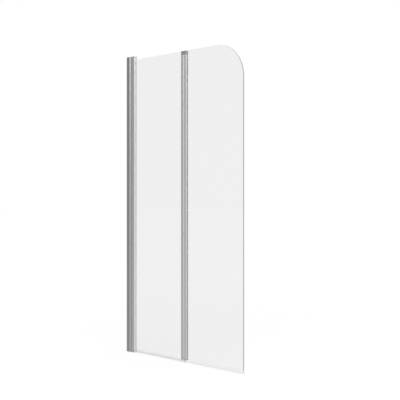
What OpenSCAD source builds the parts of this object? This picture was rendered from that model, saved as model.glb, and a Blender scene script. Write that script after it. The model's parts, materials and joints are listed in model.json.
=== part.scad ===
// Folding bath screen: two glass panes on a wall profile that pivots, joined by a fold hinge.
// X runs out from the wall along the closed screen, Y across it and Z up.
// The origin is on the wall's face, in the panes' middle plane, at the level of the bath's rim.

/* [Screen] */
// Reach of the closed screen, from the wall to its free edge
screen_w = 750; // [700:5:850]
// Height of the wall profile above the rim of the bath
screen_h = 1400; // [1300:10:1500]
// Distance from the top of the wall profile down to the panes' top edge
glass_drop = 16; // [12:1:60]
// Height of the panes' bottom edge above the rim
glass_lift = 14; // [13:1:20]
// Thickness of both panes
glass_t = 6; // [5:0.5:7]
// Radius of the outer pane's top corner
corner_r = 150; // [50:5:250]

/* [Wall profile] */
// Width of the wall channel, across the screen
channel_w = 25; // [24:0.5:30]
// Depth of the wall channel, out from the wall
channel_d = 17; // [15:0.5:24]
// Thickness of the channel's two sides
channel_side = 1.8; // [1.4:0.1:2.5]
// Thickness of the channel's web against the wall
channel_web = 2; // [1.5:0.1:3]
// Length of the post's nose in front of the channel
nose_d = 7; // [4:0.5:8]
// Radius of the nose's two long edges
nose_r = 6; // [2:0.2:7]
// Thickness of the post's legs and of its face
post_wall = 2; // [1.6:0.1:3]
// Clearance between the post and the channel it slides in
slide_gap = 0.3; // [0.15:0.05:0.5]
// Thickness of the end plates
plate_t = 3; // [2.5:0.5:5]
// Number of wall holes
wall_holes = 3; // [2:1:5]
// Diameter of the wall holes
wall_hole_d = 5; // [4:0.5:7]
// Distance from each end of the profile to the nearest wall hole
wall_hole_inset = 100; // [60:5:200]
// Number of width-adjusting screws
adjust_screws = 3; // [2:1:4]
// Distance from each end of the profile to the nearest adjusting screw
adjust_inset = 220; // [150:10:300]

/* [Wall pivot] */
// Thickness of the pivot profile, and diameter of its round back
pivot_t = 19; // [18:0.5:24]
// Reach of the pivot profile, from the pivot's axis to its end face
pivot_reach = 18; // [18:0.5:30]
// Gap between the post's face and the round back
pivot_gap = 0.5; // [0.4:0.1:1]
// Diameter of the pivot pins
pivot_pin_d = 6; // [5:0.5:7]
// Length of the pivot bushes
pivot_bush_l = 25; // [15:1:40]
// Depth of the pane in the pivot profile
pivot_grip = 10; // [7:0.5:11]

/* [Fold hinge] */
// Thickness of both fold profiles
fold_t = 15; // [14.5:0.5:20]
// Width of the inner fold profile's face
inner_fold_w = 13.2; // [11:0.2:20]
// Width of the outer fold profile's face
outer_fold_w = 13; // [12.5:0.5:20]
// Width of the groove between the two faces
fold_groove = 7; // [5:0.2:10]
// Distance from the outer profile's hinge edge to the fold axis
fold_overlap = 4.4; // [3.5:0.1:4.5]
// Gap between the two fold profiles when the screen is folded flat
stack_gap = 5; // [4.5:0.5:8]
// Diameter of the hinge tube
tube_d = 9; // [8.5:0.1:9.4]
// Gap between the hinge tube and the hollow it turns in
seat_gap = 0.4; // [0.3:0.05:0.6]
// Thickness of the arm that carries the tube
arm_t = 3.6; // [2.5:0.1:3.8]
// Diameter of the fold pins
fold_pin_d = 4.5; // [3.5:0.1:4.8]
// Length of the fold bushes
fold_bush_l = 22; // [12:1:40]
// Depth of the panes in the fold profiles
fold_grip = 8.5; // [6:0.1:8.6]
// Height of the end blocks on top of the fold profiles
top_block_h = 16; // [10:1:30]
// Height of the end blocks under the fold profiles
foot_block_h = 4; // [4:0.5:10]

/* [Seals] */
// Thickness of the glazing gaskets on each side of a pane
gasket_t = 1; // [0.8:0.1:1.2]
// Height that the bottom seals' lips reach up a pane
seal_grip = 9; // [6:0.5:14]
// Thickness of the bottom seals' lips
lip_t = 1; // [0.8:0.1:1.2]
// Thickness of the bottom seals' fins
fin_t = 0.7; // [0.5:0.1:1]
// Height of the fins' tips above the rim
fin_clear = 0.5; // [0.3:0.1:2]

/* [Clearances] */
// Radial clearance of a pin that turns in its bush
run_gap = 0.05; // [0.02:0.01:0.1]
// Clearance of parts that are pushed or screwed together
fit_gap = 0.1; // [0.05:0.05:0.2]
// Gap between parts that move past each other
move_gap = 0.3; // [0.2:0.05:0.4]
// Room left between the folded free edge and the wall profile
stow_gap = 3; // [2.5:0.5:10]

/* [Hidden] */
$fn = 64;
eps = 0.01;

// Wall profile
channel_in = channel_w / 2 - channel_side;       // half the room inside the channel
post_half = channel_in - slide_gap;
post_toe_gap = 2;                                // room between the post's legs and the web
post_toe_x = channel_web + post_toe_gap;
nose_x = channel_d + slide_gap;                  // back of the post's nose
face_x = nose_x + nose_d;                        // front face of the nose
seal_groove_w = 4;
seal_groove_d = 1.6;
pivot_fin_w = 2;                                 // width of the pivot seal's fin
pivot_seal_inset = 1;                            // distance from the pivot seal's ends to the plates
port_wall = 1.5;                                 // wall of the screw ports inside the post
port_sink = 1;                                   // depth that the ports run into the post's legs
plate_screw_d = 2.6;
plate_head_d = 4.7;
plate_screw_l = 20;
plate_screw_x = (channel_web + face_x) / 2;
plate_screw_y = post_half - post_wall - plate_screw_d / 2 - port_wall + port_sink;

// Screw heads with a cross
head_t = 1.4;
cross_share = 0.7;                               // reach of the cross, as a share of the head
cross_w = 0.5;
cross_d = 0.7;

// Adjusting screws, through the side that the outer leaf folds to
adjust_x = (channel_web + channel_d) / 2;
adjust_d = 4;
adjust_head_d = 6.8;
adjust_head_t = 1.2;
cover_wall = 0.6;
cover_d = adjust_head_d + 2 * (fit_gap + cover_wall);

// Wall pivot
pivot_r = pivot_t / 2;
pivot_x = face_x + pivot_gap + pivot_r;
pivot_end_x = pivot_x + pivot_reach;
flange_t = 0.6;                                  // thickness of the pivot bushes' flanges
flange_gap = 0.2;                                // end play between a flange and what lies on it
flange_inset = 1.5;                              // distance from a flange's rim to the round back
end_room = flange_t + flange_gap;
pivot_bush_wall = 2;
pivot_pin_r = pivot_pin_d / 2;
pivot_bush_r = pivot_pin_r + pivot_bush_wall;
pivot_pin_l = pivot_bush_l + plate_t;
pin_tip = 1;                                     // length of the pins' tapered tips
pin_recess = 0.3;                                // depth of the pins' ends below the plates' faces
neck_half = 5.5;                                 // half width of the end plates' neck
cover_x = pivot_x + neck_half + pivot_gap;       // the covers stay clear of the neck as the leaf turns
cover_z = screen_h - plate_t - end_room;         // top end of the pivot profile
spigot_l = 8;
chamber_wall = 1.7;

// Glass and glazing
slot_half = glass_t / 2 + gasket_t;
glass_z0 = glass_lift;
glass_z1 = screen_h - glass_drop;
inner_pane_x0 = pivot_end_x - pivot_grip;
gasket_inset = 0.2;                              // depth of the gaskets' edges inside the profiles

// Fold hinge: the axis is set so that the folded free edge clears the wall profile
fold_x = (screen_w + pivot_x + channel_w / 2 + stow_gap) / 2;
fold_y = fold_t / 2 + stack_gap / 2;
tube_r = tube_d / 2;
seat_r = tube_r + seat_gap;
outer_x0 = fold_x - fold_overlap;
outer_x1 = outer_x0 + outer_fold_w;
inner_x1 = outer_x0 - fold_groove;
inner_x0 = inner_x1 - inner_fold_w;
inner_pane_x1 = inner_x0 + fold_grip;
outer_pane_x0 = outer_x1 - fold_grip;
edge_r = 1.2;                                    // small radius on the profiles' long edges
root_y = slot_half + 0.5;                        // level at which the arm and the ears start
arm_back = 2;                                    // where the ramps end, back and front of the edge
ramp_top = 5.8;                                  // length in X of the arm's ramp, above
ramp_under = 3;                                  // and below
fold_bush_wall = 0.9;
fold_pin_r = fold_pin_d / 2;
fold_bush_r = fold_pin_r + fold_bush_wall;
fold_flange_t = 1;
ear_half = 3;
ear_gap = fold_flange_t + flange_gap;            // an ear's distance from the end of the tube
foot_drop = 1;                                   // depth of the foot blocks below the panes
foot_z = glass_z0 - foot_drop;
fold_z0 = foot_z + foot_block_h;                 // bottom and top of the extruded fold profiles
fold_z1 = glass_z1 - top_block_h;
block_meet_x = outer_x0 - fold_groove / 2;       // the top blocks nearly meet over the groove
block_screw_d = 2.4;
block_head_d = 3;
block_screw_l = 12;                              // length of the block screws inside the profiles
block_screw_y = (slot_half + fold_t / 2) / 2;
inner_screw_x = inner_x0 + inner_fold_w / 2;
outer_screw_x = outer_x0 + outer_fold_w / 2;
groove_seal_y = edge_r + 0.6 - fold_t / 2;       // front of the groove seal
groove_foot_t = 1;                               // its foot on the inner profile, and its fin
groove_foot_w = 5;
groove_fin_w = 1.2;

// Bottom seals
seal_top = foot_z - flange_gap;                  // top of the seals where they run below the blocks
seal_base_t = 2;
base_z = seal_top - seal_base_t;
bulb_r = 3.2;
bulb_sink = 0.6;                                 // depth that the bulb runs into the base
bulb_z = base_z - bulb_r + bulb_sink;
seal_half = glass_t / 2 + lip_t + fit_gap;
fin_flare = 1.4;                                 // spread of the outer fins half way down
fin_hook = 0.4;                                  // and how far they turn in below that
fin_root_w = 1.5;
fin_y = seal_half + fin_flare;
fin_mid_z = (seal_top + fin_clear) / 2;

// A bar with rounded long edges, as a section in X and Y
module rounded_section(x0, x1, half, r) {
    square_xy(x0 + r, x1 - r, -half, half);
    square_xy(x0, x1, -half + r, half - r);
    for (x = [x0 + r, x1 - r], y = [-half + r, half - r]) translate([x, y]) circle(r);
}

module square_xy(x0, x1, y0, y1) {
    translate([x0, y0]) square([x1 - x0, y1 - y0]);
}

// Lifts a section from z0 to z1
module lift(z0, z1) {
    translate([0, 0, z0]) linear_extrude(z1 - z0) children();
}

// Draws its children, and their mirror image about the screen's mid height
module both_ends() {
    children();
    bottom_end() children();
}

module bottom_end() {
    translate([0, 0, screen_h]) mirror([0, 0, 1]) children();
}

function spread(count, inset, i) = inset + i * (screen_h - 2 * inset) / (count - 1);

// Wall profile

module channel_section() {
    difference() {
        square_xy(0, channel_d, -channel_w / 2, channel_w / 2);
        square_xy(channel_web, channel_d + 1, -channel_in, channel_in);
    }
}

module wall_channel() color("silver") difference() {
    lift(plate_t, screen_h - plate_t) channel_section();
    for (i = [0 : wall_holes - 1]) translate([-1, 0, spread(wall_holes, wall_hole_inset, i)])
        rotate([0, 90, 0]) cylinder(d = wall_hole_d, h = channel_web + 2);
    adjusting_holes(channel_in - 1, channel_w / 2 + 1, adjust_d / 2 + fit_gap);
}

module adjusting_holes(y0, y1, r) {
    for (i = [0 : adjust_screws - 1])
        translate([adjust_x, y0, spread(adjust_screws, adjust_inset, i)])
            rotate([-90, 0, 0]) cylinder(r = r, h = y1 - y0);
}

// The nose's outline: flat at the back, with its two front edges rounded
module nose_section(half) intersection() {
    rounded_section(face_x - channel_w, face_x, half, nose_r);
    square_xy(nose_x, face_x, -half, half);
}

module post_section() {
    difference() {
        union() {
            nose_section(channel_w / 2);
            square_xy(post_toe_x, nose_x + eps, -post_half, post_half);
        }
        square_xy(post_toe_x - 1, face_x - seal_groove_d - post_wall, -post_half + post_wall,
                  post_half - post_wall);
        square_xy(face_x - seal_groove_d, face_x + 1, -seal_groove_w / 2, seal_groove_w / 2);
    }
    for (y = [-plate_screw_y, plate_screw_y]) translate([plate_screw_x, y]) difference() {
        circle(d = plate_screw_d + 2 * port_wall);
        circle(d = plate_screw_d);
    }
}

module pivot_post() color("silver") difference() {
    lift(plate_t, screen_h - plate_t) post_section();
    adjusting_holes(post_half - post_wall - 1, post_half + 1, adjust_d / 2 + fit_gap / 2);
}

// The soft strip between the post's face and the pivot profile's round back
module pivot_seal() color("dimgray")
    lift(plate_t + pivot_seal_inset, screen_h - plate_t - pivot_seal_inset) {
        square_xy(face_x - seal_groove_d, face_x, -seal_groove_w / 2 + fit_gap,
                  seal_groove_w / 2 - fit_gap);
        square_xy(face_x - eps, face_x + pivot_gap - move_gap, -pivot_fin_w / 2, pivot_fin_w / 2);
    }

// Closes the wall profile and carries the pivot pin on an arm
module pivot_plate() difference() {
    lift(screen_h - plate_t, screen_h) {
        square_xy(0, nose_x + eps, -channel_w / 2, channel_w / 2);
        nose_section(channel_w / 2);
        square_xy(face_x - nose_r, pivot_x, -neck_half, neck_half);
        translate([pivot_x, 0]) circle(pivot_r);
    }
    translate([pivot_x, 0, screen_h - plate_t - 1]) cylinder(r = pivot_pin_r, h = plate_t + 2);
    for (y = [-plate_screw_y, plate_screw_y])
        screw_hole(plate_screw_x, y, screen_h, plate_screw_d, plate_t + 1, plate_head_d);
}

module top_pivot_plate() color("gray") pivot_plate();

module bottom_pivot_plate() color("gray") bottom_end() pivot_plate();

// A countersunk screw that points down from z, with a cross in its head
module screw(x, y, z, d, l, head) translate([x, y, z - fit_gap]) difference() {
    union() {
        translate([0, 0, -l]) cylinder(d = d - 2 * fit_gap, h = l);
        translate([0, 0, -head_t]) cylinder(d1 = d - 2 * fit_gap, d2 = head, h = head_t);
    }
    for (a = [0, 90]) rotate(a) translate([-cross_share * head / 2, -cross_w / 2, -cross_d])
        cube([cross_share * head, cross_w, cross_d + 1]);
}

// The clearance hole and flat-bottomed recess that take such a screw
module screw_hole(x, y, z, d, l, head) translate([x, y, z]) {
    translate([0, 0, -l]) cylinder(d = d + 2 * fit_gap, h = l + 1);
    translate([0, 0, -head_t - fit_gap]) cylinder(d = head + 2 * fit_gap, h = head_t + fit_gap + 1);
}

module plate_screws() color("gainsboro") both_ends()
    for (y = [-plate_screw_y, plate_screw_y])
        screw(plate_screw_x, y, screen_h, plate_screw_d, plate_screw_l, plate_head_d);

module adjusting_screws() color("gainsboro")
    for (i = [0 : adjust_screws - 1])
        translate([adjust_x, channel_w / 2, spread(adjust_screws, adjust_inset, i)])
            rotate([-90, 0, 0]) {
                translate([0, 0, -channel_side - slide_gap - post_wall])
                    cylinder(d = adjust_d, h = channel_side + slide_gap + post_wall + eps);
                cylinder(d = adjust_head_d, h = adjust_head_t);
            }

// Snap caps over the adjusting screws' heads
module screw_covers() color("silver")
    for (i = [0 : adjust_screws - 1])
        translate([adjust_x, channel_w / 2, spread(adjust_screws, adjust_inset, i)])
            rotate([-90, 0, 0]) difference() {
                union() {
                    cylinder(d = cover_d, h = adjust_head_t);
                    translate([0, 0, adjust_head_t])
                        cylinder(d1 = cover_d, d2 = adjust_head_d, h = cover_wall);
                }
                translate([0, 0, -1]) cylinder(d = adjust_head_d + 2 * fit_gap, h = adjust_head_t + 1);
            }

module pivot_pins() color("gainsboro") both_ends()
    translate([pivot_x, 0, screen_h - pivot_pin_l]) {
        translate([0, 0, pin_tip])
            cylinder(r = pivot_pin_r, h = pivot_pin_l - pin_tip - pin_recess);
        cylinder(r1 = pivot_pin_r - pin_tip, r2 = pivot_pin_r, h = pin_tip);
    }

// Inner leaf

module pivot_outline() {
    translate([pivot_x, 0]) circle(pivot_r);
    square_xy(pivot_x, pivot_end_x - edge_r, -pivot_r, pivot_r);
    rounded_section(pivot_x, pivot_end_x, pivot_r, edge_r);
}

// The two hollow chambers beside the pane, which the end covers plug into
module pivot_chambers(gap) {
    for (s = [-1, 1]) translate([0, s * (slot_half + pivot_r) / 2])
        square_xy(cover_x + gap, pivot_end_x - chamber_wall - gap,
                  -(pivot_r - slot_half) / 2 + chamber_wall + gap,
                  (pivot_r - slot_half) / 2 - chamber_wall - gap);
}

module pivot_profile() color("silver")
    lift(screen_h - cover_z, cover_z) difference() {
        pivot_outline();
        translate([pivot_x, 0]) circle(pivot_bush_r + fit_gap);
        square_xy(inner_pane_x0 - gasket_t, pivot_end_x + 1, -slot_half, slot_half);
        pivot_chambers(0);
    }

module flanged_bush(outer_r, inner_r, flange_r, l, flange) difference() {
    union() {
        translate([0, 0, -l]) cylinder(r = outer_r, h = l);
        cylinder(r = flange_r, h = flange);
    }
    translate([0, 0, -l - 1]) cylinder(r = inner_r, h = l + flange + 2);
}

module pivot_bushes() color("white") both_ends()
    translate([pivot_x, 0, cover_z])
        flanged_bush(pivot_bush_r, pivot_pin_r + run_gap, pivot_r - flange_inset, pivot_bush_l, flange_t);

// Push-in end cover: a lid round the end plate's arm, a tongue down to the pane's end at z, and
// two spigots in the chambers
module pivot_cover(pane_end) {
    lift(cover_z, screen_h) cut_round_back() intersection() {
        pivot_outline();
        square_xy(cover_x, pivot_end_x, -pivot_r, pivot_r);
    }
    lift(pane_end + fit_gap, cover_z + eps) cut_round_back()
        square_xy(inner_pane_x0 - gasket_t + fit_gap, pivot_end_x - fit_gap, -slot_half + fit_gap,
                  slot_half - fit_gap);
    lift(cover_z - spigot_l, cover_z + eps) cut_round_back() pivot_chambers(fit_gap);
}

// Cuts the room in which the end plate's round arm turns
module cut_round_back() difference() {
    children();
    translate([pivot_x, 0]) circle(pivot_r + move_gap);
}

module pivot_top_cover() color("gray") pivot_cover(glass_z1);

module pivot_bottom_cover() color("gray") bottom_end() pivot_cover(screen_h - glass_z0);

// A glazing gasket folded round the pane's edge at x, open towards +X or -X
module gasket(x, grip, side, z0, z1) lift(z0, z1) {
    x0 = side > 0 ? x - gasket_t : x - grip;
    x1 = side > 0 ? x + grip : x + gasket_t;
    difference() {
        square_xy(x0, x1, -slot_half, slot_half);
        square_xy(side > 0 ? x : x0 - 1, side > 0 ? x1 + 1 : x, -glass_t / 2, glass_t / 2);
    }
}

module pivot_gasket() color("dimgray")
    gasket(inner_pane_x0, pivot_grip - gasket_inset, 1, glass_z0, glass_z1);

// A flat pane in X and Z
module pane(x0, x1, corner) color("lightcyan", 0.5)
    rotate([90, 0, 0]) translate([0, 0, -glass_t / 2]) linear_extrude(glass_t) {
        square_xy(x0, x1, glass_z0, glass_z1 - corner);
        if (corner > 0) {
            square_xy(x0, x1 - corner, glass_z1 - corner, glass_z1);
            intersection() {
                translate([x1 - corner, glass_z1 - corner]) circle(corner, $fn = 256);
                square_xy(x1 - corner, x1, glass_z1 - corner, glass_z1);
            }
        }
    }

module inner_pane() pane(inner_pane_x0, inner_pane_x1, 0);

// The ramped arm that carries the hinge tube behind the groove
module arm_section() polygon([
    [inner_x1 - arm_back - ramp_top, root_y],
    [inner_x1 - arm_back, fold_y + arm_t / 2],
    [fold_x, fold_y + arm_t / 2],
    [fold_x, fold_y - arm_t / 2],
    [inner_x1 + arm_back, fold_y - arm_t / 2],
    [inner_x1 + arm_back - ramp_under, root_y]]);

// The bores beside the pane that take the block screws, on the sides named
module screw_bores(x, sides) {
    for (s = sides) translate([x, s * block_screw_y]) circle(d = block_screw_d);
}

module inner_fold_profile() color("silver") difference() {
    union() {
        lift(fold_z0, fold_z1) rounded_section(inner_x0, inner_x1, fold_t / 2, edge_r);
        lift(fold_z0, fold_z1) arm_section();
        lift(fold_z0, fold_z1) translate([fold_x, fold_y]) circle(tube_r);
    }
    lift(fold_z0 - 1, fold_z1 + 1) {
        square_xy(inner_x0 - 1, inner_pane_x1 + gasket_t, -slot_half, slot_half);
        translate([fold_x, fold_y]) circle(fold_bush_r + fit_gap);
        screw_bores(inner_screw_x, [-1, 1]);
    }
}

module inner_fold_gasket() color("dimgray")
    gasket(inner_pane_x1, fold_grip - gasket_inset, -1, glass_z0, glass_z1);

module fold_bushes() color("white") {
    translate([fold_x, fold_y, fold_z1]) fold_bush();
    translate([fold_x, fold_y, fold_z0]) mirror([0, 0, 1]) fold_bush();
}

module fold_bush()
    flanged_bush(fold_bush_r, fold_pin_r + run_gap, tube_r, fold_bush_l, fold_flange_t);

// The soft strip that closes the groove between the two fold profiles
module fold_seal() color("lightgray") lift(fold_z0, fold_z1) {
    square_xy(inner_x1, inner_x1 + groove_foot_t, groove_seal_y, groove_seal_y + groove_foot_w);
    square_xy(inner_x1, outer_x0 - move_gap, groove_seal_y, groove_seal_y + groove_fin_w);
}

// An end block astride the pane: x0 to x1 is its face, and the pane enters from one side
module block(x0, x1, slot_x0, slot_x1, z0, z1) difference() {
    lift(z0, z1) rounded_section(x0, x1, fold_t / 2, edge_r);
    lift(max(z0 - 1, glass_z0), min(z1 + 1, glass_z1 + 1))
        square_xy(slot_x0, slot_x1, -slot_half, slot_half);
}

// Screw holes into an end block: down from the top of the panes, or up from the foot
module top_screw_holes(x, sides)
    for (s = sides) screw_hole(x, s * block_screw_y, glass_z1, block_screw_d, top_block_h + 1,
                               block_head_d);

module foot_screw_holes(x, sides)
    for (s = sides) translate([0, 0, foot_z]) mirror([0, 0, 1])
        screw_hole(x, s * block_screw_y, 0, block_screw_d, foot_block_h + 1, block_head_d);

module inner_top_block() color("gray") difference() {
    block(inner_x0, block_meet_x - move_gap, inner_x0 - 1, inner_pane_x1 + gasket_t, fold_z1,
          glass_z1);
    top_screw_holes(inner_screw_x, [-1, 1]);
}

module inner_bottom_block() color("silver") difference() {
    block(inner_x0, inner_x1, inner_x0 - 1, inner_pane_x1 + gasket_t, foot_z, fold_z0);
    foot_screw_holes(inner_screw_x, [-1, 1]);
}

module block_screws(x, sides)
    for (s = sides) {
        screw(x, s * block_screw_y, glass_z1, block_screw_d, top_block_h + block_screw_l,
              block_head_d);
        translate([0, 0, foot_z]) mirror([0, 0, 1])
            screw(x, s * block_screw_y, 0, block_screw_d, foot_block_h + block_screw_l, block_head_d);
    }

module inner_block_screws() color("gainsboro") block_screws(inner_screw_x, [-1, 1]);

// Outer leaf

module outer_fold_section() difference() {
    rounded_section(outer_x0, outer_x1, fold_t / 2, edge_r);
    translate([fold_x, fold_y]) circle(seat_r);
    square_xy(outer_pane_x0 - gasket_t, outer_x1 + 1, -slot_half, slot_half);
    screw_bores(outer_screw_x, [-1]);
}

module outer_fold_profile() color("silver") lift(fold_z0, fold_z1) outer_fold_section();

module outer_fold_gasket() color("dimgray")
    gasket(outer_pane_x0, fold_grip - gasket_inset, 1, glass_z0, glass_z1);

module outer_pane() pane(outer_pane_x0, screen_w, corner_r);

// An ear on an end block, which holds the fold pin over the end of the tube
module ear(z0, z1) lift(z0, z1) {
    translate([fold_x, fold_y]) circle(tube_r);
    square_xy(fold_x - ear_half, fold_x + ear_half, root_y, fold_y);
}

// Cuts the hollow that the tube's end turns in
module seat_cut(z0, z1) difference() {
    children();
    lift(z0, z1) translate([fold_x, fold_y]) circle(seat_r);
}

module pin_hole(z0, z1) lift(z0 - 1, z1 + 1) translate([fold_x, fold_y]) circle(fold_pin_r);

module outer_top_block() color("gray") difference() {
    union() {
        seat_cut(fold_z1 - 1, fold_z1 + ear_gap)
            block(block_meet_x + move_gap, outer_x1, outer_pane_x0 - gasket_t, outer_x1 + 1, fold_z1,
                  glass_z1);
        ear(fold_z1 + ear_gap, glass_z1);
    }
    pin_hole(fold_z1, glass_z1);
    top_screw_holes(outer_screw_x, [-1]);
}

module outer_bottom_block() color("silver") difference() {
    union() {
        seat_cut(fold_z0 - ear_gap, fold_z0 + 1)
            block(outer_x0, outer_x1, outer_pane_x0 - gasket_t, outer_x1 + 1, foot_z, fold_z0);
        ear(foot_z, fold_z0 - ear_gap);
    }
    pin_hole(foot_z, fold_z0);
    foot_screw_holes(outer_screw_x, [-1]);
}

module outer_block_screws() color("gainsboro") block_screws(outer_screw_x, [-1]);

module fold_pins() color("gainsboro") translate([fold_x, fold_y]) {
    lift(fold_z1 - fold_bush_l, glass_z1 - pin_recess) circle(fold_pin_r);
    lift(foot_z + pin_recess, fold_z0 + fold_bush_l) circle(fold_pin_r);
}

// Bottom seals, as sections in Y and Z

module seal_fins() {
    square_xy(-seal_half, seal_half, base_z, seal_top);
    difference() {
        translate([0, bulb_z]) circle(bulb_r);
        translate([0, bulb_z]) circle(bulb_r - fin_t);
    }
    square_xy(-fin_t / 2, fin_t / 2, fin_clear, bulb_z - bulb_r + fin_t / 2);
    for (s = [-1, 1]) polygon([
        [s * seal_half, seal_top],
        [s * fin_y, fin_mid_z],
        [s * (fin_y - fin_hook), fin_clear],
        [s * (fin_y - fin_hook - fin_t), fin_clear],
        [s * (fin_y - fin_t), fin_mid_z],
        [s * (seal_half - fin_root_w), base_z],
        [s * (seal_half - fin_root_w), seal_top]]);
}

module seal_grip_section() {
    square_xy(-seal_half, seal_half, seal_top - eps, glass_z0);
    for (s = [-1, 1]) translate([s * (seal_half - lip_t / 2), 0])
        square_xy(-lip_t / 2, lip_t / 2, glass_z0 - eps, glass_z0 + seal_grip);
}

// Carries a section in Y and Z along X
module run_x(x0, x1) translate([x0, 0, 0]) rotate([90, 0, 90]) linear_extrude(x1 - x0) children();

module inner_bottom_seal() color("whitesmoke") {
    run_x(pivot_end_x + move_gap, outer_x0 - 2 * move_gap) seal_fins();
    run_x(pivot_end_x + move_gap, inner_x0 - move_gap) seal_grip_section();
}

module outer_bottom_seal() color("whitesmoke") {
    run_x(outer_x0, screen_w) seal_fins();
    run_x(outer_x1 + move_gap, screen_w) seal_grip_section();
}

wall_channel();
pivot_post();
pivot_seal();
top_pivot_plate();
bottom_pivot_plate();
plate_screws();
adjusting_screws();
screw_covers();
pivot_pins();
pivot_profile();
pivot_bushes();
pivot_top_cover();
pivot_bottom_cover();
pivot_gasket();
inner_pane();
inner_fold_profile();
inner_fold_gasket();
fold_bushes();
fold_seal();
inner_top_block();
inner_bottom_block();
inner_block_screws();
inner_bottom_seal();
outer_fold_profile();
outer_fold_gasket();
outer_pane();
outer_top_block();
outer_bottom_block();
outer_block_screws();
fold_pins();
outer_bottom_seal();
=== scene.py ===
"""The looks of a folding bath screen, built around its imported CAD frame.

Lengths are in metres. X runs out from the wall along the closed screen, Y across it and Z up,
and the origin is on the wall at the level of the bath's rim.
"""

import sys

import json
import logging
import math
from collections.abc import Mapping, Sequence
from dataclasses import dataclass
from enum import Enum
from typing import Any, ClassVar

import bmesh
import bpy
import numpy as np
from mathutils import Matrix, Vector
from mathutils.geometry import tessellate_polygon

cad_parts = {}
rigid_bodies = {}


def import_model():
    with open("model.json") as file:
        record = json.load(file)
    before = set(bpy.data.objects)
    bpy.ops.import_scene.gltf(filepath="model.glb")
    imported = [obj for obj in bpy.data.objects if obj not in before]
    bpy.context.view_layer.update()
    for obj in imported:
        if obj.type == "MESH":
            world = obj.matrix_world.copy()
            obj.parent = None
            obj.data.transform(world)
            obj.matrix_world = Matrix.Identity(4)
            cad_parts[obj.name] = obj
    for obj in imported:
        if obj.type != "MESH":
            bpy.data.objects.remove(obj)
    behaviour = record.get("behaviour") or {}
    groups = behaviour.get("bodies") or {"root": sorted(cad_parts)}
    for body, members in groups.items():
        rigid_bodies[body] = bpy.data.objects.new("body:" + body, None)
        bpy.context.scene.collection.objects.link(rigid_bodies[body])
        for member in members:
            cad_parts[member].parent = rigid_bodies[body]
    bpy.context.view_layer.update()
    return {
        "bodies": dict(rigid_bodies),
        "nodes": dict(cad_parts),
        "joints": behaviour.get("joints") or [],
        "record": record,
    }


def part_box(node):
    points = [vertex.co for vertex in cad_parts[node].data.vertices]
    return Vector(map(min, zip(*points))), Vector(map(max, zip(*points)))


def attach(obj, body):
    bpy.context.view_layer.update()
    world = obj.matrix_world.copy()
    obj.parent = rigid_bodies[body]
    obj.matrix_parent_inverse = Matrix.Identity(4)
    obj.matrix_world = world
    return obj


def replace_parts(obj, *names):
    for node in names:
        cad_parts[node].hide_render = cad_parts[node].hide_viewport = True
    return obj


log = logging.getLogger("bath_screen")

MM = 0.001
WHITE = (1.0, 1.0, 1.0, 1.0)
GLASS_INDEX = 1.5
SAFETY_RADIUS = 1.5 * MM

SHARP_ANGLE = math.radians(32)
FLAT_ANGLE = math.radians(0.5)
EASED_ANGLE = math.radians(40)
EASED_SEGMENTS = 2
SAME_PLACE = 0.001 * MM
NO_BEND = 1e-12
SQUARE_ON = 0.99

Pair = tuple[float, float]
Corner = tuple[float, float, float]
Place = tuple[float, float, float]


# ---------------------------------------------------------------------------------------------
# Shader graphs


class Grain(Enum):
    """Noise patterns: their scale per metre along X, Y and Z, and their detail."""

    METAL_LINES = ((900.0, 900.0, 6.0), 3.0)
    METAL_CLOUD = ((9.0, 9.0, 3.0), 1.0)
    CASTING_PEEL = ((2200.0, 2200.0, 2200.0), 2.0)
    CASTING_CLOUD = ((60.0, 60.0, 60.0), 1.0)
    LATHE_RINGS = ((200.0, 200.0, 5000.0), 2.0)
    MOULD = ((1500.0, 1500.0, 1500.0), 3.0)
    STRIP_ALONG = ((6.0, 900.0, 900.0), 2.0)
    STRIP_UPRIGHT = ((900.0, 900.0, 6.0), 2.0)
    GLASS_ROLL = ((2.5, 2.5, 1.5), 1.0)
    GLASS_GRINDING = ((700.0, 700.0, 700.0), 2.0)


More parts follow.
